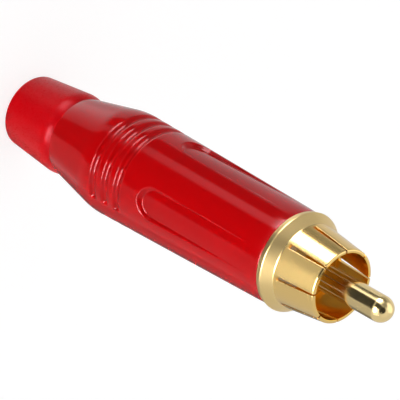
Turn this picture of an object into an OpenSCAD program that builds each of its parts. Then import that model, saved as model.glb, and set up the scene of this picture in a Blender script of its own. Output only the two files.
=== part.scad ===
// Phono cable plug: a painted cast handle with a soft bend relief behind it, screwed on to a turned
// contact body with a slotted spring ring and a round centre pin. Millimetres.
// The axis is Z: the bend relief's rear face is at z = 0 and the pin points up.

/* [Bend relief] */
// Length of the bend relief outside the handle
boot_len = 9.05; // [7.5:0.05:12]
// Diameter at the rear face
boot_rear_d = 9.12; // [8.8:0.02:9.8]
// Largest diameter, where the rounded shoulder starts
boot_shoulder_d = 10.6; // [10.2:0.02:11.2]
// Axial length of the rounded shoulder
boot_shoulder_len = 1.05; // [0.6:0.05:1.6]
// Size of the rounded rear edge
boot_edge = 0.35; // [0.1:0.05:0.6]
// Hole for the cable
cable_d = 6.8; // [6.4:0.1:7]
// Room round the cable in the handle's rear hole
cable_room = 0.25; // [0.2:0.01:0.3]
// Length of the bend relief that grips the cable
boot_grip_len = 3.6; // [2.5:0.1:4.5]

/* [Handle] */
// Length of the handle outside the bend relief
shell_len = 37.88; // [34:0.02:42]
// Diameter at the rear edge
shell_rear_d = 10.08; // [9.8:0.02:10.5]
// Largest diameter, where the rear cone meets the tapered body
shell_max_d = 13.3; // [12.6:0.02:14]
// Diameter that the tapered body comes down to, before its front end curves in
shell_front_d = 11.94; // [11.6:0.02:12.4]
// Length of the rear cone
shell_cone_len = 7.8; // [6:0.05:9]
// Length of the blend between the cone and the body, each way
shell_blend_len = 1.1; // [0.5:0.05:1.6]
// Size of the rounded edges at both ends
shell_edge = 0.22; // [0.05:0.01:0.3]
// Length of the handle's front end that curves inwards
shell_crown_len = 2.4; // [1:0.1:4]
// How far the front end curves in
shell_crown = 0.1; // [0.02:0.01:0.15]
// Wall of the spigot that the bend relief is pushed on to
spigot_wall = 0.7; // [0.5:0.05:0.75]
// Height of the barb on the spigot
spigot_barb = 0.22; // [0.1:0.02:0.24]
// Length of the barb
spigot_barb_len = 1.2; // [0.6:0.1:1.6]

/* [Grip grooves] */
// Grooves in each set
groove_count = 3; // [1:1:4]
// Distance of the first groove's valley from the handle's rear edge
groove_start = 9.68; // [9.3:0.02:11]
// Distance from groove to groove
groove_pitch = 2.06; // [1.6:0.02:2.4]
// Width of a groove
groove_w = 1.18; // [0.9:0.02:1.4]
// Width of a groove's steep rear flank
groove_rear_w = 0.46; // [0.36:0.02:0.7]
// Depth of a groove to its sharp valley
groove_depth = 0.43; // [0.3:0.01:0.6]
// Length over which the valley of a groove is rounded, each way
groove_round = 0.14; // [0.1:0.01:0.24]
// Arc that each groove covers, in degrees
groove_arc = 147; // [90:1:160]

/* [Side panels] */
// Recessed panels round the handle
panel_count = 4; // [2:1:4]
// Distance of a panel's rear end from the handle's rear edge
panel_start = 17.4; // [16.5:0.05:20]
// Width of a panel between its side edges
panel_w = 4.12; // [3:0.02:5]
// Diameter of the round floor at a panel's rear end
panel_floor_rear_d = 11.85; // [11.6:0.01:12.1]
// Diameter of the round floor at the handle's front end
panel_floor_front_d = 12.1; // [11.9:0.01:12.2]
// Slope of a panel's rim from the pull direction, in degrees
panel_draft = 45; // [40:0.5:60]

/* [Thread and cable clamp] */
// Outside diameter of the contact body's thread
thread_d = 9.7; // [9.4:0.02:9.9]
// Depth of the thread
thread_depth = 0.35; // [0.25:0.01:0.45]
// Room between the thread and the handle's bore
thread_clear = 0.1; // [0.05:0.01:0.15]
// Depth of the clamp's seat inside the handle's rear edge
seat_depth = 2.45; // [1.5:0.05:4]
// Width of the step behind the clamp's jaws
seat_step = 0.4; // [0.25:0.05:0.5]
// Length of the closing cone inside the handle
seat_cone_len = 8.5; // [6:0.1:9]
// Overall length of the cable clamp
chuck_len = 11.3; // [10:0.1:13]
// Bore between the clamp's jaws
chuck_bore_d = 6; // [5.4:0.1:6.2]
// Jaws of the cable clamp
chuck_jaws = 4; // [3:1:6]
// Gap between two jaws
chuck_gap = 0.8; // [0.4:0.05:1.2]
// Length of the solid collar in front of the jaws
chuck_collar_len = 3; // [2.6:0.1:4]
// Grip ribs inside the jaws
chuck_ribs = 5; // [2:1:6]
// Depth of the valleys between the grip ribs
chuck_rib_depth = 0.28; // [0.1:0.02:0.3]
// Length of the lip that centres the insulating sleeve
chuck_lip_len = 1.5; // [0.8:0.1:2.5]
// Wall of the insulating sleeve
sleeve_wall = 0.5; // [0.35:0.05:0.6]

/* [Contact body] */
// Diameter of the flange at its front edge
flange_d = 12.44; // [12.2:0.02:12.8]
// Diameter of the flange against the handle
flange_rear_d = 12.06; // [11.9:0.02:12.2]
// Length of the flange's flared rim
rim_len = 0.77; // [0.5:0.01:1.2]
// Size of the broken edges of the rim
rim_edge = 0.12; // [0.04:0.01:0.15]
// Length of the sloping face between the rim and the spring ring
face_len = 1.23; // [0.8:0.01:1.8]
// Outside diameter of the spring ring at its base
ring_base_d = 10.56; // [10.3:0.02:10.8]
// Outside diameter of the spring ring at its front edge
ring_front_d = 9.18; // [9.1:0.02:9.6]
// Length of the spring ring
ring_len = 5.9; // [5:0.05:7]
// Wall of the spring ring
ring_wall = 0.45; // [0.35:0.01:0.5]
// Size of the rounded front edge of the ring
ring_edge = 0.1; // [0.04:0.01:0.15]
// Slots in the ring, an even count
slot_count = 8; // [4:2:10]
// Width of a slot
slot_w = 0.55; // [0.3:0.05:0.8]
// Distance of a slot's end from the base of the ring
slot_setback = 0.37; // [0.2:0.01:1]
// Turn of the contact body at which its thread comes tight, in degrees
contact_clock = 7; // [0:1:44]
// Length of the threaded shank
shank_len = 4.9; // [4:0.1:6]
// Thickness of the flange behind the ring's pocket
flange_web = 0.57; // [0.45:0.01:0.8]

/* [Centre pin] */
// Diameter of the pin
pin_d = 3.2; // [3:0.05:3.3]
// Reach of the pin beyond the ring's front edge
pin_reach = 7.85; // [6.5:0.05:9]
// Diameter of the pin's stem inside the insulator
stem_d = 2.4; // [2:0.05:2.6]
// Length of the solder cup and stem behind the insulator
cup_len = 5; // [4:0.1:7]
// Bore of the solder cup
cup_bore_d = 1.7; // [1.2:0.05:1.8]
// Depth of the solder cup
cup_depth = 4; // [3:0.1:4.5]
// Length of the solder cup that is cut open
cup_open_len = 2.8; // [1.5:0.1:3]

/* [Insulator and ground lug] */
// Diameter of the insulator's front part
insulator_d = 6.6; // [6.2:0.05:7]
// Diameter of the insulator's rear part
insulator_rear_d = 5.8; // [5.2:0.05:6]
// Length of the insulator's front part
insulator_front_len = 4; // [3:0.1:4.2]
// Length of the insulator's staked end behind the ground lug
insulator_stake_len = 0.4; // [0.2:0.05:0.8]
// Thickness of the ground lug's sheet
lug_thick = 0.5; // [0.3:0.05:0.6]
// Length of the ground lug's trough
lug_len = 11; // [8:0.1:13]
// Arc that the trough covers, in degrees
lug_arc = 70; // [40:1:110]
// Hole in the trough for the screen's wires
lug_hole_d = 1.6; // [1:0.1:2]

/* [Fits] */
// Gap of a pushed or pressed fit
push_gap = 0.02; // [0.01:0.005:0.04]
// Gap of a loose fit between pieces that slide or turn
loose_gap = 0.1; // [0.06:0.01:0.14]
// Gap between the clamp's jaws and their cone
seat_gap = 0.06; // [0.04:0.01:0.1]

/* [Hidden] */
$fn = 96;

curve_steps = 8;
cut_over = 1;
hull_fn = 32;
handle_faces = 2;
first_face = 270;
first_panel = 225;

// Places along the axis
shell_z0 = boot_len;
shell_z1 = shell_z0 + shell_len;
spigot_z0 = boot_grip_len;
seat_z = shell_z0 + seat_depth;
chuck_z0 = seat_z + loose_gap;
chuck_z1 = chuck_z0 + chuck_len;
shank_z0 = shell_z1 - shank_len;
rim_z1 = shell_z1 + rim_len;
pocket_z = shell_z1 + flange_web;
ring_z0 = rim_z1 + face_len;
ring_z1 = ring_z0 + ring_len;
slot_z0 = ring_z0 + slot_setback;
step_z = pocket_z - insulator_front_len;
lug_z0 = shank_z0 - lug_thick;
stake_z0 = lug_z0 - insulator_stake_len;
cup_z0 = stake_z0 - cup_len;
pin_ball_z = ring_z1 + pin_reach - pin_d / 2;

// Radii that follow from the driving sizes
cable_r = cable_d / 2;
hole_r = cable_r + cable_room;
spigot_r = hole_r + spigot_wall;
bore_r = thread_d / 2 + thread_clear;
shank_r = thread_d / 2 - thread_depth;
seat_r = hole_r + seat_step;
sleeve_in_r = shank_r - sleeve_wall;
lug_r = sleeve_in_r - loose_gap;
ring_base_in_r = ring_base_d / 2 - ring_wall;
ring_front_in_r = ring_front_d / 2 - ring_wall;

// Radius of the handle's tapered body at a place along the axis
function body_r(z) = shell_max_d / 2
    + (shell_front_d - shell_max_d) / 2 * (z - shell_z0 - shell_cone_len) / (shell_len - shell_cone_len);

// Radius of the panels' round floor at a place along the axis
function floor_r(z) = (panel_floor_rear_d + (panel_floor_front_d - panel_floor_rear_d)
    * (z - shell_z0 - panel_start) / (shell_len - panel_start)) / 2;

// Point on the straight line from p to q, at a distance from p
function along(p, q, dist) = p + (q - p) * dist / norm(q - p);

// Curve that starts at a, ends at c and leans towards b
function curve(a, b, c) = [for (i = [0 : curve_steps]) let (t = i / curve_steps)
    (1 - t) * (1 - t) * a + 2 * t * (1 - t) * b + t * t * c];

// Corner b between a and c, rounded over a length each way
function soft(a, b, c, len) = curve(along(b, a, len), b, along(b, c, len));

module turned(profile) {
    rotate_extrude()
        polygon(profile);
}

// Soft bend relief: a tapered sleeve with a rounded shoulder, grooved inside for the spigot's barb
module boot() {
    rear_r = boot_rear_d / 2;
    shoulder = [boot_shoulder_d / 2, shell_z0 - boot_shoulder_len];
    lean = (shoulder[0] - rear_r) / shoulder[1] * boot_shoulder_len / 2;
    socket_r = spigot_r + push_gap;
    barb_z = spigot_z0 + spigot_barb_len;
    color("crimson")
        turned(concat(
            [[cable_r, 0]],
            soft([cable_r, 0], [rear_r, 0], shoulder, boot_edge),
            curve(shoulder, shoulder + [lean, boot_shoulder_len / 2], [shell_rear_d / 2, shell_z0]),
            [[socket_r, shell_z0],
             [socket_r, barb_z + spigot_barb_len + push_gap],
             [socket_r + spigot_barb, barb_z + spigot_barb_len + push_gap],
             [socket_r, barb_z],
             [socket_r, spigot_z0],
             [cable_r, spigot_z0]]));
}

// Cutter of one grip groove: an arc with a steep rear flank, a longer front flank and a rounded valley
module groove_cut(z) {
    top = 2 * groove_depth;
    valley = [body_r(z) - groove_depth, 0];
    rear = valley + [top, -2 * groove_rear_w];
    front = valley + [top, 2 * (groove_w - groove_rear_w)];
    translate([0, 0, z])
        rotate([0, 0, -groove_arc / 2])
            rotate_extrude(angle = groove_arc)
                polygon(concat([rear], soft(rear, valley, front, groove_round), [front]));
}

// Cutter of one panel: a slot with a round rear end and a sloping rim, down to the slightly conical floor
module panel_cut() {
    half_w = panel_w / 2;
    edge_r = body_r(shell_z0 + panel_start);
    side_x = sqrt(edge_r * edge_r - half_w * half_w);
    slope = tan(panel_draft);
    low_x = side_x - half_w / slope + cut_over / 2;
    high_x = edge_r + cut_over;
    end_r = half_w + (edge_r - side_x) * slope;
    difference() {
        hull()
            for (z = [shell_z0 + panel_start + end_r, shell_z1 + end_r])
                translate([low_x, 0, z])
                    rotate([0, 90, 0])
                        cylinder(h = high_x - low_x, r1 = half_w - (side_x - low_x) * slope,
                                 r2 = half_w + (high_x - side_x) * slope, $fn = hull_fn);
        translate([0, 0, shell_z0])
            cylinder(h = shell_len + high_x, r1 = floor_r(shell_z0), r2 = floor_r(shell_z1 + high_x));
    }
}

// Painted cast handle: rear spigot, cone, tapered body, closing cone for the clamp and a front bore
module shell() {
    rear = [shell_rear_d / 2, shell_z0];
    corner = [shell_max_d / 2, shell_z0 + shell_cone_len];
    body_end = [body_r(shell_z1), shell_z1];
    front = body_end - [shell_crown, 0];
    crown = along(body_end, corner, shell_crown_len);
    lean = along(body_end, corner, shell_crown_len / 2);
    barb_z = spigot_z0 + spigot_barb_len;
    color("firebrick")
        difference() {
            turned(concat(
                [[hole_r, spigot_z0],
                 [spigot_r, spigot_z0],
                 [spigot_r, barb_z],
                 [spigot_r + spigot_barb, barb_z + spigot_barb_len],
                 [spigot_r, barb_z + spigot_barb_len],
                 [spigot_r, shell_z0]],
                soft([spigot_r, shell_z0], rear, corner, shell_edge),
                soft(rear, corner, crown, shell_blend_len),
                curve(crown, lean, along(front, lean, shell_edge)),
                curve(along(front, lean, shell_edge), front, front - [shell_edge, 0]),
                [[bore_r, shell_z1],
                 [bore_r, seat_z + seat_cone_len],
                 [seat_r, seat_z],
                 [hole_r, seat_z]]));
            for (face = [0 : handle_faces - 1], i = [0 : groove_count - 1])
                rotate([0, 0, first_face + face * 360 / handle_faces])
                    groove_cut(shell_z0 + groove_start + i * groove_pitch);
            for (i = [0 : panel_count - 1])
                rotate([0, 0, first_panel + i * 360 / panel_count])
                    panel_cut();
        }
}

// Cable clamp: a collet whose jaws the handle's cone closes on the cable
module chuck() {
    bore = chuck_bore_d / 2;
    collar_r = bore_r - loose_gap;
    cone_lift = (bore_r - seat_r) / seat_cone_len;
    tip_r = seat_r + (chuck_z0 - seat_z) * cone_lift - seat_gap;
    collar_z = chuck_z1 - chuck_collar_len;
    cone_z = min(collar_z, chuck_z0 + (collar_r - tip_r) / cone_lift);
    cone_r = tip_r + (cone_z - chuck_z0) * cone_lift;
    lip_r = sleeve_in_r - push_gap;
    rib_pitch = (collar_z - chuck_z0) / (chuck_ribs + 1);
    color("ivory")
        difference() {
            turned([
                [bore, chuck_z0],
                [tip_r, chuck_z0],
                [cone_r, cone_z],
                [cone_r, chuck_z1],
                [lip_r, chuck_z1],
                [lip_r, chuck_z1 + chuck_lip_len],
                [bore, chuck_z1 + chuck_lip_len]]);
            for (i = [1 : chuck_ribs])
                turned([
                    [bore - cut_over, chuck_z0 + i * rib_pitch - rib_pitch / 2],
                    [bore, chuck_z0 + i * rib_pitch - rib_pitch / 2],
                    [bore + chuck_rib_depth, chuck_z0 + i * rib_pitch],
                    [bore, chuck_z0 + i * rib_pitch],
                    [bore - cut_over, chuck_z0 + i * rib_pitch]]);
            for (i = [0 : chuck_jaws - 1])
                rotate([0, 0, i * 360 / chuck_jaws])
                    translate([0, -chuck_gap / 2, chuck_z0 - cut_over])
                        cube([bore_r + cut_over, chuck_gap, collar_z - chuck_z0 + cut_over]);
        }
}

// Insulating sleeve between the clamp's collar and the contact body's shank
module insulating_sleeve() {
    color("whitesmoke")
        turned([
            [sleeve_in_r, chuck_z1],
            [shank_r, chuck_z1],
            [shank_r, shank_z0],
            [sleeve_in_r, shank_z0]]);
}

// Turned contact body: threaded shank, flared flange with a sloping face, and the slotted spring ring
module outer_contact() {
    rim_r = flange_rear_d / 2;
    ring_base = [ring_base_d / 2, ring_z0];
    ring_front = [ring_front_d / 2, ring_z1];
    ring_lip = [ring_front_in_r, ring_z1];
    pocket_edge = [ring_base_in_r, ring_z0];
    rim_rear = [rim_r, shell_z1];
    rim_front = [flange_d / 2, rim_z1];
    hole = insulator_rear_d / 2 + push_gap;
    seat = insulator_d / 2 + push_gap;
    color("goldenrod")
        rotate([0, 0, contact_clock])
            difference() {
                turned(concat(
                    [[hole, shank_z0],
                     [shank_r, shank_z0],
                     [shank_r, shell_z1]],
                    soft([shank_r, shell_z1], rim_rear, rim_front, rim_edge),
                    soft(rim_rear, rim_front, ring_base, rim_edge),
                    [ring_base],
                    soft(ring_base, ring_front, ring_lip, ring_edge),
                    soft(ring_front, ring_lip, pocket_edge, ring_edge),
                    [pocket_edge,
                     [ring_base_in_r, pocket_z],
                     [seat, pocket_z],
                     [seat, step_z],
                     [hole, step_z]]));
                for (i = [0 : slot_count / 2 - 1])
                    rotate([0, 0, i * 360 / slot_count])
                        translate([-flange_d / 2, -slot_w / 2, slot_z0])
                            cube([flange_d, slot_w, ring_len]);
            }
}

// Stepped insulator that holds the centre pin in the contact body
module pin_insulator() {
    stem = stem_d / 2 + push_gap;
    rear = insulator_rear_d / 2;
    color("white")
        turned([
            [stem, stake_z0],
            [rear, stake_z0],
            [rear, step_z],
            [insulator_d / 2, step_z],
            [insulator_d / 2, pocket_z],
            [stem, pocket_z]]);
}

// Centre pin with a ball nose, a stem through the insulator and an open solder cup
module centre_pin() {
    stem = stem_d / 2;
    color("gold")
        difference() {
            union() {
                translate([0, 0, pin_ball_z])
                    sphere(d = pin_d);
                translate([0, 0, pocket_z])
                    cylinder(h = pin_ball_z - pocket_z, d = pin_d);
                translate([0, 0, cup_z0])
                    cylinder(h = pocket_z - cup_z0, d = stem_d);
            }
            translate([0, 0, cup_z0 - cut_over])
                cylinder(h = cup_depth + cut_over, d = cup_bore_d);
            translate([-stem, 0, cup_z0 - cut_over])
                cube([stem_d, stem, cup_open_len + cut_over]);
        }
}

// Ground lug: a ring behind the shank with a trough for the cable's screen
module ground_lug() {
    hole = insulator_rear_d / 2 + push_gap;
    hole_z = lug_z0 - lug_len + lug_hole_d * 1.25;
    trough_r = lug_r - loose_gap / 2;
    color("darkgoldenrod")
        rotate([0, 0, first_face])
            difference() {
                union() {
                    turned([
                        [hole, lug_z0],
                        [lug_r, lug_z0],
                        [lug_r, shank_z0],
                        [hole, shank_z0]]);
                    rotate([0, 0, -lug_arc / 2])
                        rotate_extrude(angle = lug_arc)
                            translate([trough_r - lug_thick, lug_z0 - lug_len])
                                square([lug_thick, lug_len + lug_thick / 2]);
                }
                translate([0, 0, hole_z])
                    rotate([0, 90, 0])
                        cylinder(h = lug_r + cut_over, d = lug_hole_d);
            }
}

boot();
shell();
chuck();
insulating_sleeve();
outer_contact();
pin_insulator();
centre_pin();
ground_lug();
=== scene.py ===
"""Phono cable plug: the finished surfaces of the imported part, and the studio that it stands in.

Lengths are metres in the part's own frame: the axis is Z, the cable end is at z = 0 and the pin points up.
"""
import math

import bpy
import numpy as np
from bpy.props import FloatProperty, FloatVectorProperty, IntProperty, PointerProperty
from bpy.types import Operator, Panel, PropertyGroup
from mathutils import Matrix, Vector


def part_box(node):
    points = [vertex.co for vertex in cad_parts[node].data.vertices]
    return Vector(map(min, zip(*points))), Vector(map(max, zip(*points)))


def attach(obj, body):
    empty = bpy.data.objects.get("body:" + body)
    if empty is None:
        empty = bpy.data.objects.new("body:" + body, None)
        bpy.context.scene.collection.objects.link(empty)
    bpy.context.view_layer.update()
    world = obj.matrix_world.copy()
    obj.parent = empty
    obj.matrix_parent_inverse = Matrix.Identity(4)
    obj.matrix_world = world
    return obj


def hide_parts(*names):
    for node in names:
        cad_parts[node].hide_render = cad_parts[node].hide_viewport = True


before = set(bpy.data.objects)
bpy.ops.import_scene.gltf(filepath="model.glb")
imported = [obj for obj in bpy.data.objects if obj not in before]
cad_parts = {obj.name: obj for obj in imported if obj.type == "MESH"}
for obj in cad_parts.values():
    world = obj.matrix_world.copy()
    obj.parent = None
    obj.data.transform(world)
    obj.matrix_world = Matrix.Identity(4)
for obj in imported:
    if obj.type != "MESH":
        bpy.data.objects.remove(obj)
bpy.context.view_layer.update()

bl_info = {
    "name": "Phono plug",
    "version": (1, 0, 0),
    "blender": (4, 5, 0),
    "location": "3D View > Sidebar > Plug",
    "description": "Builds the finished surfaces of a phono cable plug round its packed solids",
    "category": "Object",
}

MM = 0.001
TURN = 2 * math.pi

SHELL_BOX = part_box("shell")
CONTACT_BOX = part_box("outer_contact")
PIN_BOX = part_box("centre_pin")
INSULATOR_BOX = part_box("pin_insulator")


def length(name, text, value):
    """A length that a user may change, in metres."""
    return FloatProperty(name=name, description=text, default=value, unit="LENGTH", precision=5)


def angle(name, text, degrees):
    """An angle that a user may change."""
    return FloatProperty(name=name, description=text, default=math.radians(degrees), subtype="ANGLE")


def share(name, text, value):
    """A plain factor that a user may change."""
    return FloatProperty(name=name, description=text, default=value, min=0, precision=3)


def count(name, text, value):
    """A number of like features."""
    return IntProperty(name=name, description=text, default=value, min=1)


def colour(name, text, rgb):
    """A surface colour, as linear values."""
    return FloatVectorProperty(name=name, description=text, default=rgb, subtype="COLOR", size=3,
                               min=0, max=1)


class BootSizes(PropertyGroup):
    """Sizes of the soft bend relief."""
    rear_r: length("Rear radius", "Radius at the rear face", 4.56 * MM)
    shoulder_r: length("Shoulder radius", "Largest radius, where the rounded shoulder starts", 5.221 * MM)
    shoulder_len: length("Shoulder length", "Axial length of the rounded shoulder", 1.9 * MM)
    front_r: length("Front radius", "Radius where the bend relief meets the handle", 4.78 * MM)
    edge: length("Rear edge", "Size of the rounded rear edge", 0.4 * MM)
    mouth_edge: length("Cable mouth", "Size of the rounded edge of the cable's hole", 0.25 * MM)
    bore_r: length("Cable bore", "Radius of the cable's hole", 3.4 * MM)
    grip_len: length("Grip length", "Length of the bend relief that grips the cable", SHELL_BOX[0].z)
    cover_len: length("Cover length", "Length of the handle's spigot inside the bend relief", 5.45 * MM)
    socket_r: length("Socket radius", "Radius of the socket for the handle's spigot", 4.37 * MM)
    groove_rear: length("Groove rear", "Place of the inner groove's rear end along the axis", 4.8 * MM)
    groove_front: length("Groove front", "Place of the inner groove's front wall along the axis", 6.02 * MM)
    groove_depth: length("Groove depth", "Depth of the inner groove for the spigot's barb", 0.22 * MM)


class HandleSizes(PropertyGroup):
    """Sizes of the painted handle."""
    spigot_len: length("Spigot length", "Length of the spigot inside the bend relief", 5.45 * MM)
    rear_r: length("Rear radius", "Radius at the rear edge", 5.04 * MM)
    max_r: length("Largest radius", "Radius where the rear cone meets the tapered body", 6.645 * MM)
    front_r: length("Front radius", "Radius that the tapered body comes down to", 5.97 * MM)
    cone_len: length("Cone length", "Length of the rear cone", 7.8 * MM)
    blend_len: length("Blend", "Length of the blend between cone and body, each way", 1.1 * MM)
    crown_len: length("Crown length", "Length of the front end that curves inwards", 2.4 * MM)
    crown: length("Crown", "How far the front end curves in", 0.075 * MM)
    rear_edge: length("Rear edge", "Size of the rounded rear edge", 0.08 * MM)
    edge: length("Front edge", "Size of the rounded front edge", 0.22 * MM)
    bore_r: length("Bore", "Radius of the front bore", 4.95 * MM)
    hole_r: length("Cable hole", "Radius of the rear hole", 3.65 * MM)
    spigot_r: length("Spigot", "Radius of the spigot inside the bend relief", 4.35 * MM)
    barb_start: length("Barb start", "Distance of the spigot's barb from its rear end", 1.2 * MM)
    barb_len: length("Barb length", "Length of the spigot's barb", 1.2 * MM)
    barb: length("Barb height", "Height of the spigot's barb", 0.22 * MM)
    seat_r: length("Clamp seat", "Radius of the clamp's seat", 4.05 * MM)
    seat_z: length("Seat place", "Place of the clamp's seat along the axis", 11.5 * MM)
    seat_len: length("Seat cone", "Length of the closing cone", 8.5 * MM)


class GripSizes(PropertyGroup):
    """Sizes of the grip grooves and the recessed panels of the handle."""
    grooves: count("Grooves", "Grooves in each set", 3)
    groove_start: length("First groove", "First groove's valley from the handle's rear edge", 9.68 * MM)
    groove_pitch: length("Groove pitch", "Distance from groove to groove", 2.06 * MM)
    groove_w: length("Groove width", "Width of a groove", 1.18 * MM)
    groove_rear_w: length("Rear flank", "Width of a groove's steep rear flank", 0.46 * MM)
    groove_depth: length("Groove depth", "Depth of a groove to its sharp valley", 0.43 * MM)
    groove_round: length("Groove rounding", "How much the valley of a groove is filled", 0.5 * MM)
    groove_arc: angle("Groove arc", "Arc that each groove covers", 147)
    groove_end: length("Groove end", "Half the length over which a groove runs out", 0.16 * MM)
    panels: count("Panels", "Recessed panels round the handle", 4)
    panel_start: length("Panel start", "A panel's rear end from the handle's rear edge", 17.4 * MM)
    panel_w: length("Panel width", "Width of a panel between its side edges", 4.12 * MM)
    floor_rear_r: length("Panel floor, rear", "Radius of the floor at a panel's rear end", 5.925 * MM)
    floor_front_r: length("Panel floor, front", "Radius of the floor at the handle's front end", 6.05 * MM)
    panel_draft: angle("Panel draft", "Slope of a panel's rim from the pull direction", 45)
    groove_lip: length("Groove lips", "How much paint and casting soften the grooves' lips", 0.15 * MM)
    lip: length("Panel lips", "How much paint and casting soften the panels' lips", 0.08 * MM)
    valley: length("Valley rounding", "How much paint and casting soften the inner corners", 0.08 * MM)


class ContactSizes(PropertyGroup):
    """Sizes of the gold contact body."""
    shank_r: length("Shank", "Radius of the shank under its thread", 4.5 * MM)
    shank_edge: length("Shank edge", "Size of the rounded rear edge of the shank", 0.2 * MM)
    undercut: length("Undercut", "Depth of the undercut between thread and flange", 0.15 * MM)
    undercut_len: length("Undercut length", "Length of the undercut's floor", 0.25 * MM)
    rim_rear_r: length("Rim rear", "Radius of the flange against the handle", 6.03 * MM)
    rim_front_r: length("Rim front", "Radius of the flange at its front edge", 6.22 * MM)
    rim_len: length("Rim length", "Length of the flange's flared rim", 0.77 * MM)
    rim_edge: length("Rim edges", "Size of the broken edges of the rim", 0.12 * MM)
    face_len: length("Face length", "Length of the sloping face in front of the rim", 1.23 * MM)
    ring_base_r: length("Ring base", "Outside radius of the spring ring at its base", 5.28 * MM)
    ring_front_r: length("Ring front", "Outside radius of the spring ring at its front edge", 4.59 * MM)
    base_round: length("Base rounding", "Size of the rounding at the base of the ring", 0.12 * MM)
    ring_wall: length("Ring wall", "Wall of the spring ring", 0.45 * MM)
    ring_bevel: length("Ring bevel", "Size of the rounded outer front edge of the ring", 0.2 * MM)
    ring_edge: length("Ring edge", "Size of the rounded inner front edge of the ring", 0.06 * MM)
    slots: count("Slots", "Slots in the spring ring", 8)
    slot_w: length("Slot width", "Width of a slot at its end", 0.52 * MM)
    slot_front_w: length("Slot mouth", "Width of a slot at its mouth, where the petals bend in", 0.2 * MM)
    slot_setback: length("Slot end", "Distance of a slot's end from the base of the ring", 0.37 * MM)
    slot_edge: length("Slot edges", "Size of the rounded edges of a slot", 0.05 * MM)
    clock: angle("Clock", "Turn at which the thread comes tight", 7)
    seat_r: length("Insulator seat", "Radius of the seat of the insulator's front part", 3.32 * MM)
    seat_len: length("Seat depth", "Length of the insulator's front part", 4.0 * MM)
    hole_r: length("Rear hole", "Radius of the hole for the insulator's rear part", 2.92 * MM)
    hole_edge: length("Hole edge", "Size of the rounded edge of the rear hole", 0.1 * MM)


class PinSizes(PropertyGroup):
    """Sizes of the centre pin."""
    pin_r: length("Pin radius", "Radius of the pin and its ball nose", 1.6 * MM)
    stem_r: length("Stem radius", "Radius of the stem inside the insulator", 1.2 * MM)
    cup_bore_r: length("Cup bore", "Radius of the solder cup's bore", 0.85 * MM)
    cup_depth: length("Cup depth", "Depth of the solder cup", 4.0 * MM)
    cup_open_len: length("Cup opening", "Length of the solder cup that is cut open", 2.8 * MM)
    cup_edge: length("Cup edges", "Size of the rounded edges of the solder cup", 0.08 * MM)
    drill_point: length("Drill point", "Depth that the drill's point adds to the cup", 0.45 * MM)


class ThreadSizes(PropertyGroup):
    """Sizes of the screw thread between the contact body and the handle."""
    pitch: length("Pitch", "Advance in one turn", 0.75 * MM)
    depth: length("Depth", "Height of a thread ridge", 0.35 * MM)
    root_w: length("Root width", "Width of a ridge at its root", 0.45 * MM)
    crest_w: length("Crest width", "Width of a ridge at its crest", 0.12 * MM)
    relief: length("Relief", "Plain length at each end of the thread", 0.5 * MM)
    run_out: share("Run-out", "Turns over which a ridge runs out at each end", 0.3)
    sink: length("Sink", "Depth to which the root of a ridge is sunk", 0.04 * MM)


class PlugColours(PropertyGroup):
    """Colours of the finishes."""
    paint: colour("Handle paint", "Glossy red paint", (0.53, 0.0008, 0.002))
    boot: colour("Bend relief", "Satin red soft plastic", (0.62, 0.0005, 0.004))
    gold: colour("Gold plating", "Gold on turned brass", (0.88, 0.61, 0.23))
    satin: colour("Satin gold", "Gold on the finely turned flange", (0.8, 0.59, 0.26))
    bright: colour("Bright gold", "Gold on the polished pin", (0.96, 0.74, 0.36))
    # Painted reflection: this deeper orange stands for the gold reflecting itself inside the ring
    painted_reflection_gold: colour("Gold with painted reflection", "Gold inside the spring ring", (0.98, 0.6, 0.1))
    clamp: colour("Clamp plastic", "Moulded plastic of the cable clamp", (0.72, 0.7, 0.64))
    sleeve: colour("Sleeve plastic", "Extruded insulating tube", (0.78, 0.77, 0.73))
    insulator: colour("Insulator plastic", "Turned white plastic", (0.86, 0.85, 0.8))


class StudioSettings(PropertyGroup):
    """Camera and light."""
    azimuth: angle("Azimuth", "Turn of the camera round the part, from the front", 18.9)
    elevation: angle("Elevation", "Height of the camera above the horizon", 39.97)
    roll: angle("Roll", "Turn of the camera about its own axis", 119.6)
    distance: length("Distance", "Distance of the camera from its aim", 469.46 * MM)
    aim: FloatVectorProperty(name="Aim", description="Point that the camera looks at", subtype="TRANSLATION",
                             default=(-0.56 * MM, -0.19 * MM, 30.19 * MM), size=3, precision=5)
    lens: FloatProperty(name="Lens", description="Focal length", default=360, unit="CAMERA")
    room: share("Room light", "Brightness of the pale room", 0.68)
    box: share("Soft box light", "Brightness of the two soft boxes", 32.0)


def spread(start, stop, near, far, zones):
    """Places from start to stop, close together inside zones and further apart elsewhere.

    The wanted spacing is a step function of place. Its inverse is summed along the way, and the places are
    read off that sum at equal steps.
    """
    fine = np.linspace(start, stop, 8000)
    inside = np.zeros(fine.size, bool)
    for low, high in zones:
        inside |= (fine >= low) & (fine <= high)
    passed = np.concatenate([[0], np.cumsum(np.diff(fine) / np.where(inside, near, far)[1:])])
    steps = int(math.ceil(passed[-1]))
    return np.interp(np.linspace(0, passed[-1], steps + 1), passed, fine)


def soften(low, high, size):
    """Smooth minimum: the lower of two surfaces, with the edge where they cross rounded over size."""
    near = np.clip(1 - np.abs(low - high) / size, 0, None)
    return np.minimum(low, high) - near ** 2 * size / 4


def fill(low, high, size):
    """Smooth maximum: the higher of two surfaces, with the corner where they cross filled over size."""
    return -soften(-low, -high, size)


def curve(a, b, c, steps):
    """Quadratic curve that starts at a, leans towards b and ends at c."""
    t = np.linspace(0, 1, steps + 1)[:, None]
    return (1 - t) ** 2 * np.asarray(a) + 2 * t * (1 - t) * np.asarray(b) + t ** 2 * np.asarray(c)


def toward(start, stop, distance):
    """Point on the straight line from start to stop, at a distance from start."""
    start, stop = np.asarray(start, float), np.asarray(stop, float)
    return start + (stop - start) * distance / np.linalg.norm(stop - start)


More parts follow.
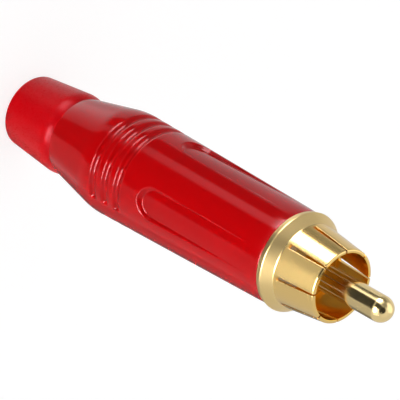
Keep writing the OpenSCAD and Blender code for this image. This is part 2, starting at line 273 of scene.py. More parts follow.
def outline(corners, steps=5, hold=0.4):
    """Section outline from corners given as radius, height and rounding.

    A rounded corner becomes a quadratic curve that starts and ends at the rounding's distance from it, with
    one more point a little further out on each side, so that smooth shading stays on the curve. The outline
    is closed.
    """
    places = np.array([(r, z) for r, z, _ in corners])
    parts = []
    for i, (_, _, size) in enumerate(corners):
        here, before, after = places[i], places[i - 1], places[(i + 1) % len(corners)]
        if not size:
            parts.append(here[None])
            continue
        back, ahead = before - here, after - here
        back, ahead = back / np.linalg.norm(back), ahead / np.linalg.norm(ahead)
        bend = curve(here + back * size, here, here + ahead * size, steps)
        parts.append(np.vstack([bend[:1] + back * size * hold, bend, bend[-1:] + ahead * size * hold]))
    return np.vstack(parts)


def turned_points(r, z, theta):
    """Points of a turned surface from radius, height and angle arrays that fit each other."""
    r, z, theta = np.broadcast_arrays(r, z, theta)
    return np.stack([r * np.cos(theta), r * np.sin(theta), z], -1)


def skin(name, points, body, material, nodes=(), poles=(), sharp=40):
    """Mesh object from a grid of points: rows follow the section and columns go round the axis.

    Columns always close into a ring. Rows close into a loop, or end in two poles. The faces are turned
    outwards by the sign of the volume that they enclose.
    """
    rows, columns = points.shape[:2]
    index = np.arange(rows * columns).reshape(rows, columns)
    after = np.roll(index, -1, 1)
    quads = np.stack([index, after, np.roll(after, -1, 0), np.roll(index, -1, 0)], -1)
    verts = points.reshape(-1, 3)
    fans = np.empty((0, 3), int)
    if poles:
        quads = quads[:-1]
        verts = np.vstack([verts, poles])
        first, last = len(verts) - 2, len(verts) - 1
        fans = np.vstack([
            np.stack([np.full(columns, first), after[0], index[0]], -1),
            np.stack([np.full(columns, last), index[-1], after[-1]], -1)])
    quads = quads.reshape(-1, 4)
    tris = np.vstack([quads[:, [0, 1, 2]], quads[:, [0, 2, 3]], fans])
    corner = verts[tris]
    volume = np.einsum("ij,ij->i", corner[:, 0], np.cross(corner[:, 1], corner[:, 2])).sum()
    if volume < 0:
        quads, fans = quads[:, ::-1], fans[:, ::-1]
    mesh = bpy.data.meshes.new(name)
    mesh.from_pydata(verts.tolist(), [], quads.tolist() + fans.tolist())
    mesh.validate()
    mesh.shade_smooth()
    mesh.set_sharp_from_angle(angle=math.radians(sharp))
    mesh.materials.append(material)
    piece = bpy.data.objects.new(name, mesh)
    bpy.context.scene.collection.objects.link(piece)
    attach(piece, body)
    if nodes:
        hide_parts(*nodes)
    return piece


class Field:
    """One value of a shader. Sums and products of fields and numbers add the Math nodes for them."""

    def __init__(self, finish, socket):
        self.finish, self.socket = finish, socket

    def math(self, operation, *others):
        """Result of one Math node on this value and the others."""
        return self.finish.node("ShaderNodeMath", {"operation": operation}, dict(enumerate((self, *others))))

    def __add__(self, other):
        return self.math("ADD", other)

    def __sub__(self, other):
        return self.math("SUBTRACT", other)

    def __rsub__(self, other):
        return self.finish.node("ShaderNodeMath", {"operation": "SUBTRACT"}, {0: other, 1: self})

    def __mul__(self, other):
        return self.math("MULTIPLY", other)

    __radd__, __rmul__ = __add__, __mul__

    def step(self, low, high):
        """0 at low and 1 at high, with a smooth rise between them; low may be the higher of the two."""
        return self.finish.node("ShaderNodeMapRange", {"interpolation_type": "SMOOTHSTEP"},
                                {"Value": self, "From Min": low, "From Max": high})

    def window(self, low, high, edge):
        """1 between low and high and 0 outside, with smooth edges."""
        return self.step(low - edge, low + edge) * self.step(high + edge, high - edge)


class Finish:
    """The node tree of a material or of the world, while it is put together."""

    def __init__(self, tree):
        self.tree = tree
        tree.nodes.clear()

    def node(self, kind, settings=None, values=None, output=0):
        """Adds a node with its settings and the values or links of its sockets, and returns one output."""
        node = self.tree.nodes.new(kind)
        for key, value in (settings or {}).items():
            setattr(node, key, value)
        for key, value in (values or {}).items():
            socket = node.inputs[key] if isinstance(key, int) else next(
                s for s in node.inputs if s.enabled and key in (s.identifier, s.name))
            if isinstance(value, Field):
                self.tree.links.new(value.socket, socket)
            else:
                socket.default_value = value
        if not node.outputs:
            return None
        return Field(self, node.outputs[output] if isinstance(output, int) else next(
            s for s in node.outputs if s.enabled and output in (s.identifier, s.name)))

    def place(self):
        """Object coordinates."""
        return self.node("ShaderNodeTexCoord", output="Object")

    def part(self, vector, axis):
        """One of a vector's three parts."""
        return self.node("ShaderNodeSeparateXYZ", None, {0: vector}, output=axis)

    def turned_place(self):
        """Distance from the axis, then height, so that every pattern over them runs in rings."""
        place = self.place()
        x, y, z = (self.part(place, axis) for axis in range(3))
        return self.node("ShaderNodeCombineXYZ", None, {0: (x * x + y * y).math("SQRT"), 1: z})

    def noise(self, vector, scale, detail=2.0, rough=0.5):
        """Noise from 0 to 1 over a vector."""
        return self.node("ShaderNodeTexNoise", None,
                         {"Vector": vector, "Scale": scale, "Detail": detail, "Roughness": rough})

    def mix(self, factor, a, b):
        """Colour a where the factor is 0 and b where it is 1."""
        a, b = (end if isinstance(end, Field) else (*end, 1) for end in (a, b))
        values = {"Factor_Float": factor, "A_Color": a, "B_Color": b}
        return self.node("ShaderNodeMix", {"data_type": "RGBA"}, values, "Result_Color")

    def bump(self, height, distance):
        """Normal of a surface raised by height times distance."""
        return self.node("ShaderNodeBump", None, {"Height": height, "Distance": distance})


def tone(rgb, factor):
    """A colour made darker or lighter by a factor."""
    return tuple(min(part * factor, 1) for part in rgb)


def coated(name, varying, fixed):
    """Material with one Principled shader, from the sockets that vary over the surface and the fixed ones."""
    material = bpy.data.materials.new(name)
    material.use_nodes = True
    finish = Finish(material.node_tree)
    shader = finish.node("ShaderNodeBsdfPrincipled", None, {**fixed, **varying(finish)})
    finish.node("ShaderNodeOutputMaterial", None, {"Surface": shader})
    return material


def handle_paint(colours, handle, z0):
    """Glossy paint on a casting: a shallow ripple in the gloss, and painted shade, a darker colour, in the
    recesses.

    The recess is how far a point lies inside the straight taper of the body.
    """
    slope = (handle.front_r - handle.max_r) / (SHELL_BOX[1].z - z0 - handle.cone_len)

    def varying(finish):
        place, turned = finish.place(), finish.turned_place()
        radius, height = finish.part(turned, 0), finish.part(turned, 1)
        recess = (height - (z0 + handle.cone_len)) * slope + handle.max_r - radius
        # Painted shade: the paint colour darkens where the surface sinks into the grooves and panels, mixed
        # with a random change of tone
        recess_shade_and_tone = recess.step(0, 0.3 * MM) * 0.6 + finish.noise(place, 260, 3) * 0.4
        ripple = finish.noise(place, 820, 2) + finish.noise(place, 4200, 1) * 0.12
        return {
            "Base Color": finish.mix(recess_shade_and_tone, tone(colours.paint, 1.04), tone(colours.paint, 0.92)),
            "Roughness": finish.noise(place, 520, 3) * 0.04 + 0.07,
            "Normal": finish.bump(ripple, 0.0012 * MM),
        }
    return coated("handle_paint", varying, {"IOR": 1.42, "Specular Tint": (1.0, 0.5, 0.54, 1.0)})


def boot_rubber(colours):
    """Soft satin plastic with the fine grain of a spark-eroded mould."""
    def varying(finish):
        place = finish.place()
        grain = finish.noise(place, 9000, 3, 0.6)
        cloud = finish.noise(place, 300, 3)
        return {
            "Base Color": finish.mix(cloud, tone(colours.boot, 0.95), tone(colours.boot, 1.05)),
            "Roughness": grain * 0.08 + 0.24,
            "Normal": finish.bump(grain + cloud * 0.6, 0.004 * MM),
        }
    fixed = {"Specular IOR Level": 0.22, "Specular Tint": (0.5, 0.45, 0.55, 1.0)}
    return coated("boot_rubber", varying, fixed)


def turned_gold(colours, sizes, face_z):
    """Gold on a turned body: rings left by the tool, satin on the flange and brighter on the spring ring.

    Inside the ring the colour is a deeper orange, a painted reflection that stands for the gold reflecting
    itself. The inside is told by how far a point lies within the tapered outside of the ring.
    """
    lean = (sizes.ring_front_r - sizes.ring_base_r) / (CONTACT_BOX[1].z - face_z)

    def varying(finish):
        turned = finish.turned_place()
        rings = finish.noise(turned, 5200, 4, 0.7)
        bands = finish.noise(turned, 900, 2)
        grain = finish.noise(finish.place(), 3800, 3, 0.65)
        height = finish.part(turned, 1)
        bright = height.step(face_z - 0.05 * MM, face_z + 0.1 * MM)
        sunk = (height - face_z) * lean + sizes.ring_base_r - finish.part(turned, 0)
        # Painted reflection: inside the ring the colour turns to a deeper orange that stands for the gold's
        # reflections of itself
        inside = sunk.step(sizes.ring_wall * 0.6, sizes.ring_wall * 0.95)
        outside = finish.mix(bright + (bands - 0.5) * 0.2, colours.satin, colours.gold)
        return {
            "Base Color": finish.mix(inside, outside, colours.painted_reflection_gold),
            "Roughness": 0.36 - bright * 0.2 + (rings - 0.5) * 0.08,
            "Normal": finish.bump(rings + bands * 0.7 + grain * bright * 4.5, 0.0022 * MM),
        }
    return coated("gold_body", varying, {"Metallic": 1.0})


def polished_gold(colours):
    """Gold on a polished pin: faint rings and a soft cloudiness."""
    def varying(finish):
        turned = finish.turned_place()
        rings = finish.noise(turned, 3600, 3, 0.6)
        cloud = finish.noise(finish.place(), 700, 3)
        return {
            "Base Color": finish.mix(cloud, tone(colours.bright, 0.98), tone(colours.bright, 1.02)),
            "Roughness": cloud * 0.06 + 0.12,
            "Normal": finish.bump(rings, 0.0004 * MM),
        }
    return coated("gold_pin", varying, {"Metallic": 1.0})


def stamped_gold(colours):
    """Gold on stamped sheet: the long grain of rolled brass under the plating."""
    def varying(finish):
        place = finish.place()
        drawn = finish.node("ShaderNodeMapping", None, {"Vector": place, "Scale": (1.0, 1.0, 0.08)})
        grain = finish.noise(drawn, 5000, 3, 0.6)
        return {
            "Base Color": finish.mix(grain, tone(colours.gold, 0.9), tone(colours.gold, 1.0)),
            "Roughness": grain * 0.12 + 0.24,
            "Normal": finish.bump(grain, 0.003 * MM),
        }
    return coated("gold_lug", varying, {"Metallic": 1.0})


def moulded(name, rgb, grain_size, rough):
    """Plain plastic with moulding grain and a slight cloudiness in its colour."""
    def varying(finish):
        place = finish.place()
        grain = finish.noise(place, 1 / grain_size, 3, 0.6)
        cloud = finish.noise(place, 400, 3)
        return {
            "Base Color": finish.mix(cloud, tone(rgb, 0.95), tone(rgb, 1.03)),
            "Roughness": grain * 0.12 + rough,
            "Normal": finish.bump(grain, grain_size * 0.02),
        }
    return coated(name, varying, {"IOR": 1.48})


def extruded(name, rgb):
    """Thin plastic tube with draw lines along its length."""
    def varying(finish):
        drawn = finish.node("ShaderNodeMapping", None, {"Vector": finish.place(), "Scale": (1.0, 1.0, 0.03)})
        lines = finish.noise(drawn, 4000, 3, 0.6)
        return {
            "Base Color": finish.mix(lines, tone(rgb, 0.96), tone(rgb, 1.03)),
            "Roughness": lines * 0.15 + 0.4,
            "Normal": finish.bump(lines, 0.003 * MM),
        }
    return coated(name, varying, {"IOR": 1.48})


def build_boot(sizes, material):
    """Turned sleeve: a straight taper with a rounded rear edge, then a quadratic curve over the shoulder."""
    z1 = SHELL_BOX[0].z + sizes.cover_len
    shoulder = np.array([sizes.shoulder_r, z1 - sizes.shoulder_len])
    brow = np.array([(sizes.shoulder_r - sizes.rear_r) / shoulder[1], 1]) * sizes.shoulder_len * 0.55
    over = curve(shoulder, shoulder + brow, [sizes.front_r, z1], 18)
    section = np.vstack([
        outline([(sizes.bore_r, 0, sizes.mouth_edge), (sizes.rear_r, 0, sizes.edge), (*shoulder, 0)])[:-1],
        np.linspace(toward((sizes.rear_r, 0), shoulder, sizes.edge * 2), shoulder, 6)[:-1],
        over,
        [(sizes.socket_r, z1), (sizes.socket_r, sizes.groove_front),
         (sizes.socket_r + sizes.groove_depth, sizes.groove_front), (sizes.socket_r, sizes.groove_rear),
         (sizes.socket_r, sizes.grip_len), (sizes.bore_r, sizes.grip_len)]])
    theta = np.arange(160) * TURN / 160
    points = turned_points(section[:, :1], section[:, 1:], theta[None])
    return skin("bend_relief", points, "handle", material, ("boot",))


def handle_rows(handle, grip):
    """Rows of the handle's outside as radius and height, from the rear edge to the front edge.

    A straight cone and a straight taper meet in a quadratic blend, and the front end curves in to a rounded
    edge. Rows are close together over the grooves and the panels' rear ends.
    """
    z0, z1 = SHELL_BOX[0].z + handle.spigot_len, SHELL_BOX[1].z
    rear, corner = np.array([handle.rear_r, z0]), np.array([handle.max_r, z0 + handle.cone_len])
    end = np.array([handle.front_r, z1])
    front = end - [handle.crown, 0]
    crown, lean = toward(end, corner, handle.crown_len), toward(end, corner, handle.crown_len / 2)
    brow = toward(front, lean, handle.edge)
    rear_edge = curve(rear - [handle.rear_edge, 0], rear, toward(rear, corner, handle.rear_edge), 6)
    blend = curve(toward(corner, rear, handle.blend_len), corner, toward(corner, crown, handle.blend_len), 12)
    grooves = z0 + grip.groove_start + np.arange(grip.grooves) * grip.groove_pitch
    groove_front_w = grip.groove_w - grip.groove_rear_w
    panel_z = z0 + grip.panel_start
    margin, near, far, hold = 0.12 * MM, 0.04 * MM, 0.5 * MM, 0.05 * MM
    zones = [(z - grip.groove_rear_w - margin, z + groove_front_w + margin) for z in grooves]
    zones += [(panel_z - 0.2 * MM, panel_z + 2.5 * MM)]
    place = spread(blend[-1, 1], crown[1], near, far, zones)
    taper = np.stack([np.interp(place, [corner[1], z1], [handle.max_r, handle.front_r]), place], -1)
    return np.vstack([
        rear_edge[:1] - [hold, 0], rear_edge, np.linspace(rear_edge[-1], blend[0], 9)[1:-1], blend,
        taper[1:-1], curve(crown, lean, brow, 10), curve(brow, front, front - [handle.edge, 0], 6)[1:],
        [front - [handle.edge + hold, 0]]])


def groove_floor(grip, taper, z, theta, z0):
    """Radius of the nearest groove.

    Across a groove the steep rear flank and the longer front flank rise straight from its valley, which is
    filled to a round. Near the end of the arc the way past the end counts too, which gives a short rounded
    end.
    """
    turn = (theta + TURN / 4) % (TURN / 2)
    away = np.minimum(turn, TURN / 2 - turn)
    found = np.full(np.broadcast_shapes(z.shape, theta.shape), 1.0)
    for i in range(grip.grooves):
        valley = z0 + grip.groove_start + i * grip.groove_pitch
        rim = taper(valley)
        behind = (valley - z) / grip.groove_rear_w * grip.groove_depth
        ahead = (z - valley) / (grip.groove_w - grip.groove_rear_w) * grip.groove_depth
        past = np.clip((away - grip.groove_arc / 2) * rim + grip.groove_end, 0, None)
        beyond = past / (2 * grip.groove_end) * grip.groove_depth
        rise = np.hypot(fill(behind, ahead, grip.groove_round), beyond)
        found = np.minimum(found, rim - grip.groove_depth + rise)
    return found


def panel_floor(grip, taper, z, theta, z0):
    """Radius of the nearest panel's rim and floor.

    Seen along the pull direction a panel is a slot with a round rear end. Its rim rises with the distance
    from the slot's middle line, at the draft's slope, and its floor is a slight cone about the axis. The
    radius on the rim stands on both sides of that rule, so it is found by putting each answer back in a few
    times.
    """
    half = grip.panel_w / 2
    edge = taper(z0 + grip.panel_start)
    side = math.sqrt(edge ** 2 - half ** 2)
    slope = math.tan(grip.panel_draft)
    pitch = TURN / grip.panels
    off = theta % pitch - pitch / 2
    behind = np.clip(z0 + grip.panel_start + half + (edge - side) * slope - z, 0, None)
    rim = np.full(np.broadcast_shapes(z.shape, theta.shape), edge)
    for _ in range(14):
        rim = (side + (np.hypot(behind, rim * np.sin(off)) - half) / slope) / np.cos(off)
    ahead = (z - z0 - grip.panel_start) / (SHELL_BOX[1].z - z0 - grip.panel_start)
    floor = grip.floor_rear_r + (grip.floor_front_r - grip.floor_rear_r) * ahead
    return fill(rim, floor + np.zeros_like(rim), grip.valley)


def build_handle(handle, grip, material):
    """Cast handle: the turned outside lowered to the grooves and panels, closed by the plain inside."""
    z0, z1 = SHELL_BOX[0].z + handle.spigot_len, SHELL_BOX[1].z

    def taper(z):
        ahead = (z - z0 - handle.cone_len) / (z1 - z0 - handle.cone_len)
        return handle.max_r + (handle.front_r - handle.max_r) * ahead

    pitch = TURN / grip.panels
    lip_turn, reach = 0.31, 0.07
    lips = [(panel + 0.5) * pitch + side * lip_turn for panel in range(grip.panels) for side in (-1, 1)]
    ends = [face * TURN / 2 - TURN / 4 + side * grip.groove_arc / 2 for face in (0, 1) for side in (-1, 1)]
    zones = [(place % TURN - reach, place % TURN + reach) for place in lips + ends]
    theta = spread(0, TURN, math.radians(0.8), math.radians(1.5), zones)[:-1][None]
    rows = handle_rows(handle, grip)
    r, z = rows[:, :1], rows[:, 1:]
    r = soften(r, groove_floor(grip, taper, z, theta, z0), grip.groove_lip)
    r = soften(r, panel_floor(grip, taper, z, theta, z0), grip.lip)
    outside = turned_points(r, z, theta)
    tail = SHELL_BOX[0].z
    barb_z = tail + handle.barb_start
    barb_top = barb_z + handle.barb_len
    seat_top = handle.seat_z + handle.seat_len
    inside = np.array([
        (handle.bore_r, z1), (handle.bore_r, z1 - 1.0 * MM), (handle.bore_r, seat_top),
        (handle.seat_r, handle.seat_z), (handle.hole_r, handle.seat_z), (handle.hole_r, tail),
        (handle.spigot_r, tail), (handle.spigot_r, barb_z), (handle.spigot_r + handle.barb, barb_top),
        (handle.spigot_r, barb_top), (handle.spigot_r, z0)])
    points = np.concatenate([outside, turned_points(inside[:, :1], inside[:, 1:], theta)])
    return skin("handle", points, "handle", material, ("shell",))


def cut_level(section, first, last):
    """Section after a straight cut: rows first to last are laid evenly on the line between those two."""
    cut = section.copy()
    cut[first:last + 1] = np.linspace(section[first], section[last], last - first + 1)
    return cut


def build_contact(sizes, material):
    """Turned contact body with a slotted ring.

    The section is carried round the axis. Columns inside a slot carry the section cut level at the slot's
    end, and columns beside a slot lie at a set distance from its middle plane and are drawn in to round the
    petals' edges.
    """
    z0, rim_z0 = CONTACT_BOX[0].z, SHELL_BOX[1].z
    ring_z1 = CONTACT_BOX[1].z
    rim_z1 = rim_z0 + sizes.rim_len
    ring_z0 = rim_z1 + sizes.face_len
    slot_z = ring_z0 + sizes.slot_setback
    pocket_z = INSULATOR_BOX[1].z
    step_z = pocket_z - sizes.seat_len
    base, front = np.array([sizes.ring_base_r, ring_z0]), np.array([sizes.ring_front_r, ring_z1])
    wall = np.array([sizes.ring_wall, 0])
    level = (slot_z - ring_z0) / (ring_z1 - ring_z0)
    start, stop = base + (front - base) * level, base + (front - base) * level - wall
    neck_r = sizes.shank_r - sizes.undercut
    body = outline([
        (sizes.hole_r, z0, sizes.hole_edge), (sizes.shank_r, z0, sizes.shank_edge),
        (sizes.shank_r, rim_z0 - sizes.undercut_len - sizes.undercut, 0),
        (neck_r, rim_z0 - sizes.undercut_len, 0), (neck_r, rim_z0, 0),
        (sizes.rim_rear_r, rim_z0, sizes.rim_edge), (sizes.rim_front_r, rim_z1, sizes.rim_edge),
        (*base, sizes.base_round), (*start, 0)])
    lips = outline([
        (*start, 0), (*front, sizes.ring_bevel), (*(front - wall), sizes.ring_edge), (*stop, 0)], 6)
    up = np.linspace(start, lips[1], 9)[:-1]
    down = np.linspace(lips[-2], stop, 9)[1:]
    pocket = outline([
        (*stop, 0), (*(base - wall), 0), (sizes.ring_base_r - sizes.ring_wall, pocket_z, 0),
        (sizes.seat_r, pocket_z, 0), (sizes.seat_r, step_z, 0), (sizes.hole_r, step_z, 0)])[1:]
    section = np.vstack([body[:-1], up, lips[1:-1], down, pocket])
    first = len(body) - 1
    last = first + len(up) + len(lips) - 2 + len(down) - 1
    cut = cut_level(section, first, last)
    along = np.roll(section, -1, 0) - np.roll(section, 1, 0)
    inward = np.stack([-along[:, 1], along[:, 0]], -1) / np.linalg.norm(along, axis=1)[:, None]
    inward[:first + 1] = inward[last:] = 0
    edge = sizes.slot_edge
    beside = np.array([0, 0.12, 0.35, 0.65, 1, 1.6]) * edge
    drawn = edge - np.sqrt(np.clip(edge ** 2 - np.clip(edge - beside, 0, None) ** 2, 0, None))
    between = np.linspace(0, 1, 14)[1:-1]
    within = -0.01 * MM
    offset = np.concatenate([[within], beside, np.full(between.size, beside[-1]), beside[::-1], [within]])
    inset = np.concatenate([[0], drawn, np.zeros(between.size), drawn[::-1], [0]])
    passed = np.concatenate([np.zeros(1 + beside.size), between, np.ones(1 + beside.size)])
    slotted = np.concatenate([[True], np.zeros(offset.size - 2, bool), [True]])
    petal = section[:, None] + inward[:, None] * inset[None, :, None]
    place = np.where(slotted[None, :, None], cut[:, None], petal)
    half = np.interp(place[..., 1], [slot_z, ring_z1], [sizes.slot_w / 2, sizes.slot_front_w / 2])
    lean = np.arcsin((half + offset[None]) / place[..., 0])
    pitch = TURN / sizes.slots
    theta = sizes.clock + lean + passed[None] * (pitch - 2 * lean)
    theta = (theta[:, None] + np.arange(sizes.slots)[None, :, None] * pitch).reshape(len(section), -1)
    place = np.tile(place, (1, sizes.slots, 1))
    points = turned_points(place[..., 0], place[..., 1], theta)
    return skin("contact_body", points, "contact", material, ("outer_contact",), sharp=32)


def build_pin(sizes, material):
    """Centre pin: a ball nose, a straight pin, a stem and a bored solder cup whose one half is cut away."""
    z0, z1, seat_z = PIN_BOX[0].z, PIN_BOX[1].z, INSULATOR_BOX[1].z
    swing = np.linspace(0, TURN / 4, 26)[1:, None]
    ball_z = z1 - sizes.pin_r
    nose = np.hstack([sizes.pin_r * np.sin(swing), ball_z + sizes.pin_r * np.cos(swing)])
    open_z = z0 + sizes.cup_open_len
    floor_z = z0 + sizes.cup_depth
    cup = outline([
        (sizes.stem_r, open_z, 0), (sizes.stem_r, z0, sizes.cup_edge), (sizes.cup_bore_r, z0, sizes.cup_edge),
        (sizes.cup_bore_r, open_z, 0)])
    section = np.vstack([
        nose, [(sizes.pin_r, ball_z - 0.3 * MM)],
        np.linspace((sizes.pin_r, ball_z - 1 * MM), (sizes.pin_r, seat_z), 6),
        [(sizes.stem_r, seat_z)], cup,
        [(sizes.cup_bore_r, floor_z), (sizes.cup_bore_r * 0.5, floor_z + 0.2 * MM)]])
    first = len(section) - 2 - len(cup)
    last = len(section) - 3
    cut = cut_level(section, first, last)
    closed = np.linspace(TURN / 2, TURN, 33)
    opened = np.linspace(0, TURN / 2, 35)[1:-1]
    opened[[0, -1]] = 0.004, TURN / 2 - 0.004
    theta = np.concatenate([opened, closed])
    away = (theta < TURN / 2 - 0.001)[None, :, None]
    place = np.where(away, cut[:, None], section[:, None])
    points = turned_points(place[..., 0], place[..., 1], theta[None])
    return skin("centre_pin_polished", points, "contact", material, ("centre_pin",),
                poles=((0, 0, z1), (0, 0, floor_z + sizes.drill_point)), sharp=32)


def build_thread(name, sizes, base_r, height, low, high, shift, body, slot):
    """Thread ridge: a blunt triangular section carried along a helix, running out to nothing at both ends."""
    turns = (high - low) / sizes.pitch
    steps_a_turn, least = 72, 0.02
    passed = np.linspace(0, turns, int(turns * steps_a_turn))[:, None]
    rise = np.clip(np.minimum(passed, turns - passed) / sizes.run_out, least, 1)
    sink = -math.copysign(sizes.sink, height)
    across = np.array([-sizes.root_w, -sizes.crest_w, sizes.crest_w, sizes.root_w])[None] / 2
    reach = np.array([0, 1, 1, 0])[None] * height * rise + np.array([1, 0, 0, 1])[None] * sink
    z = low + passed * sizes.pitch + across * rise
    theta = (passed + shift) * TURN
    points = turned_points(base_r + reach, z, theta)
    poles = tuple(turned_points(base_r + sink / 2, np.array(place), np.array(turn)) for place, turn in
                  ((low, theta[0, 0]), (high, theta[-1, 0])))
    return skin(name, points, body, bpy.data.materials[slot], (), poles=poles, sharp=25)


def dress(node, material):
    """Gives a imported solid, whose shape is right as it is, its finish."""
    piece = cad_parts[node]
    if piece.material_slots:
        piece.material_slots[0].material = material
    else:
        piece.data.materials.append(material)


def surroundings(finish, studio):
    """Brightness of the studio by direction: a pale room, two soft boxes, and boards and cards round them.

    A direction's turn is its angle from the camera's side, positive towards the picture's upper edge, and its
    rise is its angle above the horizon, both in degrees. Each box, board or card replaces the brightness
    inside its window of turn and rise.
    """
    degrees = 360 / TURN
    ahead = (math.sin(studio.azimuth), -math.cos(studio.azimuth), 0.0)
    aside = (-math.cos(studio.azimuth), -math.sin(studio.azimuth), 0.0)
    view = finish.node("ShaderNodeTexCoord", output="Generated")

    def share_of(direction):
        values = {0: view, 1: direction}
        return finish.node("ShaderNodeVectorMath", {"operation": "DOT_PRODUCT"}, values, "Value")

    turn = share_of(aside).math("ARCTAN2", share_of(ahead)) * degrees
    rise = finish.part(view, 2).math("ARCSINE") * degrees
    card_rise, card_turn = math.radians(57), math.radians(-10)
    card_edge, card_core = math.radians(32), math.radians(24)
    level_way = (math.cos(card_turn) * a + math.sin(card_turn) * b for a, b in zip(ahead[:2], aside[:2]))
    card_way = (*(math.cos(card_rise) * way for way in level_way), math.sin(card_rise))
    near_lens = share_of(card_way).step(math.cos(card_edge), math.cos(card_core))
    low = rise.window(-72, -55, 4)
    upper_board = turn.step(25, 125) * 1.25 - turn.step(132, 165) * 0.9 + 0.4
    lower_board = 0.36 - turn.step(-60, -130) * 0.16 + turn.step(-148, -172) * 0.4
    cards = (
        # High wall behind, on the upper side, and a grey card nearer to the camera
        (1.35, turn.window(88, 172, 8) * rise.window(24, 72, 8)),
        (0.3, turn.window(36, 84, 6) * rise.window(22, 58, 6)),
        # Low boards on both sides, whose brightness changes round the plug
        (upper_board, turn.step(20, 40) * low),
        (lower_board, turn.step(-30, -42) * low),
        # Grey and dark boards on the lower side, above the low board
        (0.47, turn.window(-112, -46, 6) * rise.window(-52, -33, 3)),
        (turn.step(-175, -110) * 0.12 + 0.12, turn.step(-108, -118) * rise.window(-52, -34, 2)),
        # Grey and dark cards beyond the upper soft box and below it
        (0.25, turn.window(66, 98, 6) * rise.window(-33, 22, 4)),
        (0.06, turn.window(56, 86, 3) * rise.window(-52, -33, 3)),
        (0.45, turn.window(98, 118, 4) * rise.window(-33, 18, 4)),
        (0.75, turn.window(124, 165, 6) * rise.window(-32, -2, 4)),
        # Dark cards round the lens and below it
        (0.04, near_lens),
        (0.05, turn.window(-38, 34, 4) * rise.window(-78, -48, 4)),
        (0.14, rise.step(-68, -74)),
        (0.03, turn.window(-40, 40, 5) * rise.window(-52, -30, 2)),
        # Pale strip under the lower soft box, and the dark gap between the two boxes
        (0.88, turn.window(-56, -6, 8) * rise.window(-27, -12, 3)),
        (0.06, turn.window(-11, 29, 3) * rise.window(-19, 42, 3)),
        # Lower soft box: its pale surround, its dim sheet and the bright part of the sheet
        (1.3, turn.window(-72, -14, 2) * rise.window(-12, 28, 2)),
        (studio.box * 0.07, turn.window(-48, -14, 3) * rise.window(-11, 27, 3)),
        (studio.box, turn.window(-46, -14, 3) * rise.window(-11, 4, 3)),
        # Upper soft box: its pale surround, a pale strip below it and its bright sheet
        (1.4, turn.window(32, 64, 3) * rise.window(-31, 18, 2)),
        (1.3, turn.window(38, 56, 4) * rise.step(-38.5, -37.9) * rise.step(-29, -33)),
        (studio.box * 0.32, turn.window(38, 66, 3) * rise.window(-31, 2, 3)),
    )
    level = rise.step(20, 80) * 0.12 + studio.room
    for brightness, mask in cards:
        level = level + (brightness - level) * mask
    return level


def seen_directly(finish):
    """1 for what the camera sees, also through clear matter, and 0 for the light that falls on the plug."""
    through = finish.node("ShaderNodeLightPath", output="Is Transmission Ray")
    return finish.node("ShaderNodeLightPath", output="Is Camera Ray").math("MAXIMUM", through)


def build_stage(studio):
    """Camera, pale floor and world."""
    scene = bpy.context.scene
    scene.view_settings.view_transform = "Standard"
    lift, turn = studio.elevation, studio.azimuth
    back = Vector((math.cos(lift) * math.sin(turn), -math.cos(lift) * math.cos(turn), math.sin(lift)))
    right = Vector((0, 0, 1)).cross(back).normalized()
    up = back.cross(right)
    tilt = math.cos(studio.roll), math.sin(studio.roll)
    axes = Matrix((right * tilt[0] + up * tilt[1], up * tilt[0] - right * tilt[1], back)).transposed()
    camera_data = bpy.data.cameras.new("camera")
    camera_data.lens, camera_data.sensor_width, camera_data.clip_start = studio.lens, 36, 0.01
    camera = bpy.data.objects.new("camera", camera_data)
    camera.matrix_world = Matrix.Translation(Vector(studio.aim) + back * studio.distance) @ axes.to_4x4()
    scene.collection.objects.link(camera)
    scene.camera = camera

    half = 4.0
    mesh = bpy.data.meshes.new("floor")
    corners = [(-half, -half, 0), (half, -half, 0), (half, half, 0), (-half, half, 0)]
    mesh.from_pydata(corners, [], [(0, 1, 2, 3)])
    floor = bpy.data.objects.new("floor", mesh)
    scene.collection.objects.link(floor)
    floor.visible_glossy = False

    def pale(finish):
        seen = seen_directly(finish)
        return {"Base Color": finish.mix(seen, (0.8, 0.8, 0.8), (0.3, 0.3, 0.3)),
                "Emission Color": finish.mix(seen, (0, 0, 0), (0.8, 0.8, 0.8))}
    fixed = {"Roughness": 1.0, "Specular IOR Level": 0.0, "Emission Strength": 1.0}
    mesh.materials.append(coated("floor", pale, fixed))

    world = bpy.data.worlds.new("studio")
    scene.world = world
    world.use_nodes = True
    world.cycles.sampling_method = "NONE"
    finish = Finish(world.node_tree)
    seen = seen_directly(finish)
    level = surroundings(finish, studio)
    light = finish.node("ShaderNodeBackground", None, {"Color": level + (1 - level) * seen, "Strength": 1.0})
    finish.node("ShaderNodeOutputWorld", None, {"Surface": light})


class PLUG_OT_boot(Operator):
    """Build the soft bend relief"""
    bl_idname = "plug.boot"
    bl_label = "Bend relief"

    def execute(self, context):
        build_boot(context.scene.plug_boot, boot_rubber(context.scene.plug_colours))
        return {"FINISHED"}


class PLUG_OT_handle(Operator):
    """Build the painted handle with its grooves and panels"""
    bl_idname = "plug.handle"
    bl_label = "Handle"

    def execute(self, context):
        scene = context.scene
        handle = scene.plug_handle
        paint = handle_paint(scene.plug_colours, handle, SHELL_BOX[0].z + handle.spigot_len)
        build_handle(handle, scene.plug_grip, paint)
        return {"FINISHED"}


class PLUG_OT_contact(Operator):
    """Build the gold contact body with its slotted ring"""
    bl_idname = "plug.contact"
    bl_label = "Contact body"

    def execute(self, context):
        sizes = context.scene.plug_contact
        face_z = SHELL_BOX[1].z + sizes.rim_len + sizes.face_len
        build_contact(sizes, turned_gold(context.scene.plug_colours, sizes, face_z))
        return {"FINISHED"}


class PLUG_OT_pin(Operator):
    """Build the polished centre pin"""
    bl_idname = "plug.pin"
    bl_label = "Centre pin"

    def execute(self, context):
        build_pin(context.scene.plug_pin, polished_gold(context.scene.plug_colours))
        return {"FINISHED"}


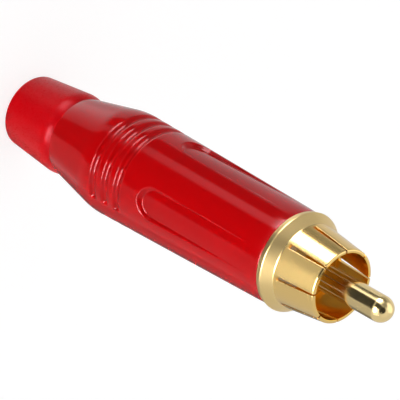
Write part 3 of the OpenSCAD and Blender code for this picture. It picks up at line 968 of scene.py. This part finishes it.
class PLUG_OT_threads(Operator):
    """Build the screw thread on the shank and in the handle"""
    bl_idname = "plug.threads"
    bl_label = "Threads"

    def execute(self, context):
        scene = context.scene
        sizes, shank, bore = scene.plug_thread, scene.plug_contact.shank_r, scene.plug_handle.bore_r
        low, high = CONTACT_BOX[0].z + sizes.relief, SHELL_BOX[1].z - sizes.relief
        shorter, lead = 0.3 * MM, 0.1 * MM
        build_thread("shank_thread", sizes, shank, sizes.depth, low, high - shorter, 0,
                     "contact", "gold_body")
        build_thread("handle_thread", sizes, bore, -sizes.depth, low - lead, high, 0.5 - lead / sizes.pitch,
                     "handle", "handle_paint")
        return {"FINISHED"}


class PLUG_OT_inner_parts(Operator):
    """Finish the clamp, sleeve, insulator and ground lug inside the plug"""
    bl_idname = "plug.inner_parts"
    bl_label = "Inner parts"

    def execute(self, context):
        colours = context.scene.plug_colours
        dress("chuck", moulded("clamp_plastic", colours.clamp, 0.12 * MM, 0.42))
        dress("insulating_sleeve", extruded("sleeve_plastic", colours.sleeve))
        dress("pin_insulator", moulded("insulator_plastic", colours.insulator, 0.3 * MM, 0.28))
        dress("ground_lug", stamped_gold(colours))
        return {"FINISHED"}


class PLUG_OT_stage(Operator):
    """Set up the camera, the floor and the light"""
    bl_idname = "plug.stage"
    bl_label = "Stage"

    def execute(self, context):
        build_stage(context.scene.plug_studio)
        return {"FINISHED"}


PIECES = (PLUG_OT_boot, PLUG_OT_handle, PLUG_OT_contact, PLUG_OT_pin, PLUG_OT_threads, PLUG_OT_inner_parts,
          PLUG_OT_stage)


class PLUG_PT_pieces(Panel):
    """Lists the pieces of the plug"""
    bl_label = "Phono plug"
    bl_idname = "PLUG_PT_pieces"
    bl_space_type = "VIEW_3D"
    bl_region_type = "UI"
    bl_category = "Plug"

    def draw(self, context):
        for piece in PIECES:
            self.layout.operator(piece.bl_idname)


GROUPS = {
    "plug_boot": BootSizes,
    "plug_handle": HandleSizes,
    "plug_grip": GripSizes,
    "plug_contact": ContactSizes,
    "plug_pin": PinSizes,
    "plug_thread": ThreadSizes,
    "plug_colours": PlugColours,
    "plug_studio": StudioSettings,
}


def register():
    for name, group in GROUPS.items():
        bpy.utils.register_class(group)
        setattr(bpy.types.Scene, name, PointerProperty(type=group))
    for cls in (*PIECES, PLUG_PT_pieces):
        bpy.utils.register_class(cls)


def unregister():
    for cls in (PLUG_PT_pieces, *reversed(PIECES)):
        bpy.utils.unregister_class(cls)
    for name, group in reversed(GROUPS.items()):
        delattr(bpy.types.Scene, name)
        bpy.utils.unregister_class(group)


def main():
    register()
    bpy.ops.plug.stage()
    bpy.ops.plug.boot()
    bpy.ops.plug.handle()
    bpy.ops.plug.contact()
    bpy.ops.plug.pin()
    bpy.ops.plug.threads()
    bpy.ops.plug.inner_parts()


if __name__ == "__main__":
    main()
